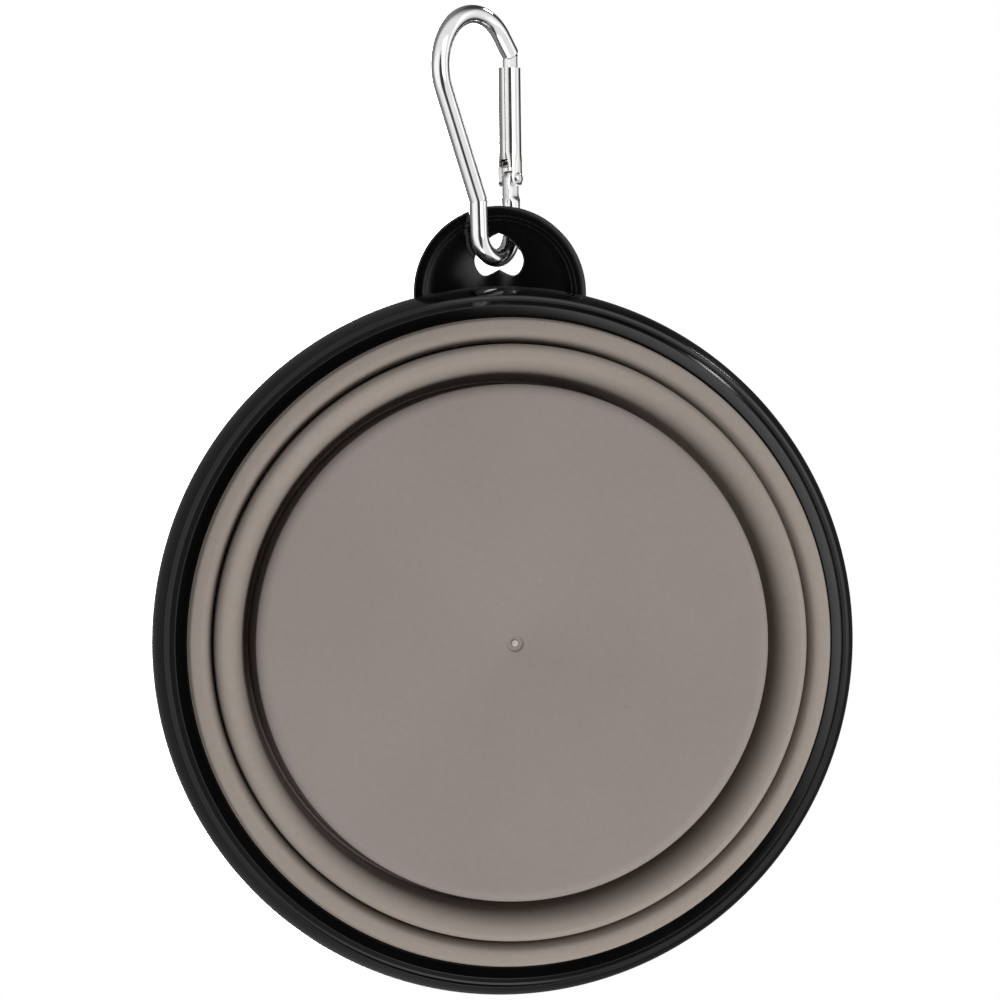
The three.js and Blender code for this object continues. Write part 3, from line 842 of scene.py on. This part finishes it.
def make_gate():
    """The rolled sheet with its openings, as a grid by angle and height that is given its thickness."""
    marks = [SEAM + SEAM_HALF, 180 + WINDOW_HALF, 270 - EAR_HALF, 270, 270 + EAR_HALF, 360 - SLOT_HALF,
             360 + SLOT_HALF, 450 - EAR_HALF, 450, 450 + EAR_HALF, 540 - WINDOW_HALF, SEAM + 360 - SEAM_HALF]
    columns = []
    for one, two in zip(marks, marks[1:]):
        steps = max(1, round((two - one) / COLUMN_STEP))
        columns += [one + (two - one) * k / steps for k in range(steps)]
    columns.append(marks[-1])
    points, index, quads = [], {}, []

    def point(column, l):
        key = (round(column, 4), round(l, 5))
        if key not in index:
            turn = math.radians(column)
            reach = gate_radius(turn, l)
            index[key] = len(points)
            points.append((LEG + reach * math.cos(turn), l, reach * math.sin(turn)))
        return index[key]

    for rows, holds in GATE_STRETCHES:
        for one, two in zip(columns, columns[1:]):
            if not all(holds(column) for column in (one, two, (one + two) / 2)):
                continue
            left, right = rows(one), rows(two)
            for k in range(len(left) - 1):
                quad = [point(one, left[k]), point(two, right[k]),
                        point(two, right[k + 1]), point(one, left[k + 1])]
                quad = list(dict.fromkeys(quad))
                if len(quad) > 2:
                    quads.append(quad)
    # The sheet is given its thickness along its normals, and its edges are closed.
    normals = [Vector() for _ in points]
    for quad in quads:
        p = [Vector(points[i]) for i in quad]
        cross = (p[2] - p[0]).cross(p[-1] - p[1])
        for i in quad:
            normals[i] += cross
    count = len(points)
    verts, grain = [], []
    for sign in (1, -1):
        for p, normal in zip(points, normals):
            q = Vector(p) + normal.normalized() * sign * GATE_WALL / 2
            verts.append(placed(q.x, q.y, q.z))
            turn = math.atan2(p[2], p[0] - LEG)
            grain.append((p[1] * MM, GATE_MID * MM * math.cos(turn), GATE_MID * MM * math.sin(turn)))
    uses = {}
    for quad in quads:
        for k in range(len(quad)):
            edge = (quad[k - 1], quad[k])
            uses.setdefault(frozenset(edge), []).append(edge)
    faces = [tuple(q) for q in quads] + [tuple(i + count for i in reversed(q)) for q in quads]
    for found in uses.values():
        if len(found) == 1:
            i, j = found[0]
            faces.append((j, i, i + count, j + count))
    return build("hook_gate", verts, faces, GATE_METAL, sharp=42, grain=grain)


gate = make_gate()
dress(gate, "gate", "gate", "carabiner_gate")


def rivet_rings():
    """Turned about the rivet's axis, from (radius, distance along the axis) of one head and its mirror."""
    turns = [2 * math.pi * k / WIRE_SIDES for k in range(WIRE_SIDES)]
    return [[placed(LEG + r * math.cos(t), PIVOT + r * math.sin(t), n) for t in turns]
            for r, n in RIVET_HEAD + [(r, -n) for r, n in reversed(RIVET_HEAD)]]


rivet = loft("gate_pin", rivet_rings(), STEEL, sharp=45)
dress(rivet, "gate", "steel", "gate_rivet")


def spring_rings():
    """Sections of the spring's wire along its helix."""
    rings = []
    for i in range(SPRING_TURNS * SPRING_STEPS + 1):
        turn = 2 * math.pi * i / SPRING_STEPS
        rise = SPRING_START + (SPRING_END - SPRING_START) * i / (SPRING_TURNS * SPRING_STEPS)
        ring = []
        for k in range(SPRING_SIDES):
            around = 2 * math.pi * k / SPRING_SIDES
            reach = SPRING_RADIUS + SPRING_WIRE * math.cos(around)
            height = rise + SPRING_WIRE * math.sin(around)
            ring.append(placed(LEG + reach * math.cos(turn), height, reach * math.sin(turn)))
        rings.append(ring)
    return rings


spring = loft("gate_coil", spring_rings(), STEEL, sharp=50)
dress(spring, "gate", "steel", "gate_spring")


# Studio: white ground seen from above only, a soft dome and three round lamps

def either(tree, factor, one, two):
    """One shader, or the other where the factor is 1."""
    node = put(tree, "ShaderNodeMixShader")
    tree.links.new(factor, node.inputs["Fac"])
    tree.links.new(one, node.inputs[1])
    tree.links.new(two, node.inputs[2])
    return node.outputs["Shader"]


def make_floor():
    """White ground that only the camera sees, from above, and that fades out away from the bowl."""
    made = bpy.data.materials.new("studio_floor")
    made.use_nodes = True
    tree = made.node_tree
    tree.nodes.clear()
    at = place(tree)
    paint = put(tree, "ShaderNodeBsdfDiffuse")
    tone = mixed(tree, spread(tree, noise(tree, at, 3, 2), 0, 1), (0.92, 0.92, 0.92), (0.94, 0.94, 0.94))
    tree.links.new(tone, paint.inputs["Color"])
    front = calculated(tree, "SUBTRACT", 1, put(tree, "ShaderNodeNewGeometry").outputs["Backfacing"])
    seen = calculated(tree, "MULTIPLY", put(tree, "ShaderNodeLightPath").outputs["Is Camera Ray"], front)
    length = put(tree, "ShaderNodeVectorMath", operation="LENGTH")
    tree.links.new(at, length.inputs[0])
    fade = spread(tree, length.outputs["Value"], 1, 0, *FLOOR_FADE)
    fade.node.interpolation_type = "SMOOTHSTEP"
    shown = calculated(tree, "MULTIPLY", seen, fade)
    clear = put(tree, "ShaderNodeBsdfTransparent")
    whole = either(tree, shown, clear.outputs["BSDF"], paint.outputs["BSDF"])
    tree.links.new(whole, put(tree, "ShaderNodeOutputMaterial").inputs["Surface"])
    mesh = bpy.data.meshes.new("studio_floor")
    turns = [2 * math.pi * k / FLOOR_SIDES for k in range(FLOOR_SIDES)]
    ring = [(FLOOR_RADIUS * math.cos(t), FLOOR_RADIUS * math.sin(t), 0) for t in turns]
    mesh.from_pydata(ring, [], [tuple(range(FLOOR_SIDES))])
    mesh.materials.append(made)
    floor = bpy.data.objects.new("studio_floor", mesh)
    floor.location.z = -FLOOR_DROP
    bpy.context.scene.collection.objects.link(floor)


def make_world():
    """White for the camera, a soft dome for diffuse light, and a studio for what glossy faces mirror."""
    world = bpy.data.worlds.new("studio")
    bpy.context.scene.world = world
    world.use_nodes = True
    tree = world.node_tree
    tree.nodes.clear()
    path = put(tree, "ShaderNodeLightPath")
    parts = put(tree, "ShaderNodeSeparateXYZ")
    tree.links.new(put(tree, "ShaderNodeTexCoord").outputs["Generated"], parts.inputs["Vector"])
    x, y, z = parts.outputs

    def times(one, two):
        return calculated(tree, "MULTIPLY", one, two)

    def plus(one, two):
        return calculated(tree, "ADD", one, two)

    def window(values, edges):
        """Product of soft edges, each from dark to bright along its value."""
        whole = None
        for value, (dark, bright) in zip(values, edges):
            edge = spread(tree, value, 0, 1, dark, bright)
            whole = edge if whole is None else times(whole, edge)
        return whole

    def background(strength=None):
        node = put(tree, "ShaderNodeBackground")
        node.inputs["Color"].default_value = (1, 1, 1, 1)
        if strength is not None:
            tree.links.new(strength, node.inputs["Strength"])
        return node.outputs["Background"]

    # Height: soft light from below, where the camera stands, and less from above.
    ramp = put(tree, "ShaderNodeValToRGB")
    stops = ramp.color_ramp.elements
    stops.remove(stops[1])
    for k, (where, bright) in enumerate(DOME_STOPS):
        stop = stops[0] if k == 0 else stops.new(where)
        stop.position = where
        stop.color = (bright, bright, bright, 1)
    tree.links.new(spread(tree, z, 0, 1, -1, 1), ramp.inputs["Fac"])

    # Angles across and up the picture, as seen from the bowl. Round the camera the studio is dark.
    down = times(z, -1)
    across = calculated(tree, "ARCTAN2", x, down)
    upward = calculated(tree, "ARCTAN2", times(y, -1), down)
    aside = plus(across, -DARK_MIDDLE[0])
    below = times(plus(upward, -DARK_MIDDLE[1]), DARK_FLATTENED)
    dark = window([plus(times(aside, aside), times(below, below))], [DARK_EDGE])
    plain = times(ramp.outputs["Color"], spread(tree, dark, 1, DARK_LEVEL, 0, 1))

    # Diffuse light is stronger from the lower right of the picture.
    toward = plus(times(x, DIFFUSE_WAY[0]), times(y, DIFFUSE_WAY[1]))
    dome = times(plain, spread(tree, toward, *DIFFUSE_SIDES, -0.7, 0.7))

    # Mirrored are a slanted panel on the right, patches on the left, below and level on the right, and
    # little from behind on the right.
    slant = plus(across, times(upward, PANEL_SLANT))
    behind = window((z, x), BEHIND_EDGES)
    studio = times(plain, spread(tree, behind, 1, BEHIND_LEVEL, 0, 1))
    for patch, level in ((window((slant, across, upward, upward), PANEL_EDGES), PANEL_LEVEL),
                         (window((across, across, upward, upward), LEFT_EDGES), LEFT_LEVEL),
                         (window((across, across, upward, upward), LOW_EDGES), LOW_LEVEL),
                         (window((x, z, z), BESIDE_EDGES), BESIDE_LEVEL)):
        studio = plus(studio, times(patch, level))
    lit = either(tree, path.outputs["Is Glossy Ray"], background(dome), background(times(studio, MIRRORED)))
    whole = either(tree, path.outputs["Is Camera Ray"], lit, background())
    tree.links.new(whole, put(tree, "ShaderNodeOutputWorld").inputs["Surface"])


def lamp(name, at, size, level, mirrored=True):
    """A round flat lamp whose face has the given brightness, where 1 is white."""
    data = bpy.data.lights.new(name, "AREA")
    data.shape = "DISK"
    data.size = size
    data.energy = level * math.pi * math.pi / 4 * size ** 2
    made = bpy.data.objects.new(name, data)
    made.location = at
    made.rotation_mode = "QUATERNION"
    made.rotation_quaternion = (LAMP_AIM - Vector(at)).to_track_quat("-Z", "Y")
    made.visible_camera = False
    made.visible_glossy = mirrored
    bpy.context.scene.collection.objects.link(made)


make_floor()
make_world()
lamp("key", at=(0.50, 0.72, -1.05), size=0.9, level=5.73, mirrored=False)
lamp("spark", at=(0.639, -0.606, 0.572), size=0.14, level=24)
lamp("overhead", at=(-0.16, 0.0, 1.1), size=0.75, level=7.2)

scene = bpy.context.scene
scene.view_settings.view_transform = "Standard"
view = bpy.data.cameras.new("view")
view.lens = LENS
view.sensor_width = SENSOR
view.clip_start = NEAR
camera = bpy.data.objects.new("view", view)
camera.matrix_world = Matrix.Translation(CAMERA_AT) @ Matrix(CAMERA_AXES).to_4x4()
scene.collection.objects.link(camera)
scene.camera = camera
